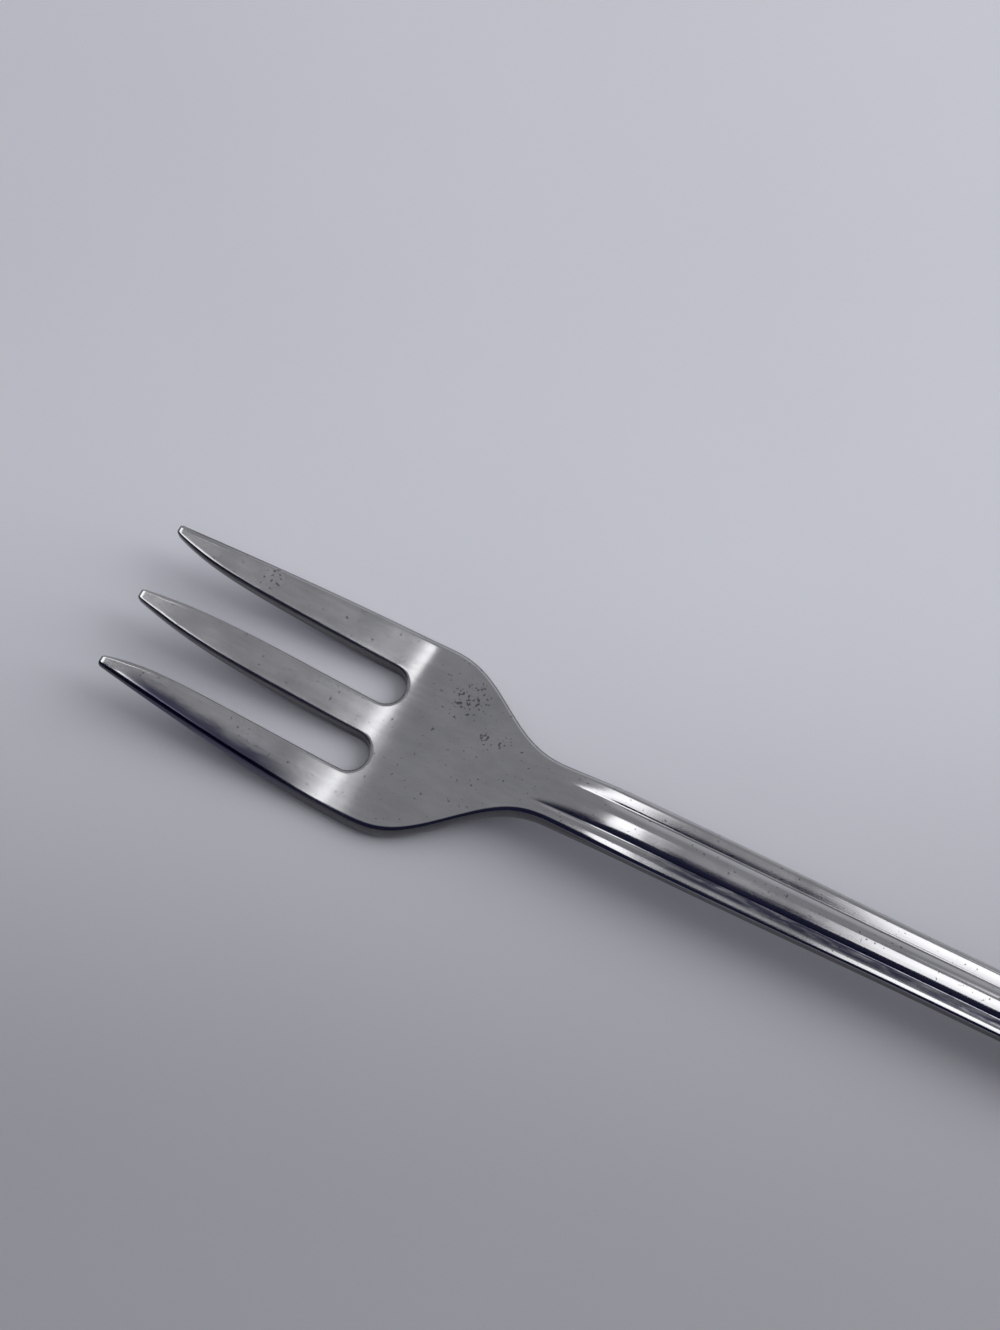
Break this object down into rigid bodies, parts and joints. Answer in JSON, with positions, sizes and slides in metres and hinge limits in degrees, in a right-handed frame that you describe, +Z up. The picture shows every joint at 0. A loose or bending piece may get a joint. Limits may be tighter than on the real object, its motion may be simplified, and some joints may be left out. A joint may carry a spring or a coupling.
{
  "type": "oyster fork",
  "caption": "Slender stainless-steel oyster fork with tapered tines, a small shouldered bowl and a narrow reeded handle, for lifting shellfish from the shell.",
  "frame": {"origin": "middle of the length and width, on the plane the fork lies on", "axes": "+X from the tine tips to the end of the handle, +Y towards the right tine as seen by someone holding the fork, +Z up, out of the hollow side of the bowl"},
  "size_m": [0.15, 0.017, 0.0059],
  "materials": {
    "stainless_steel": "satin polish"
  },
  "bodies": {
    "root": {"left_tine": "stainless_steel", "middle_tine": "stainless_steel", "right_tine": "stainless_steel", "bowl": "stainless_steel", "neck": "stainless_steel", "handle": "stainless_steel"}
  },
  "joints": []
}
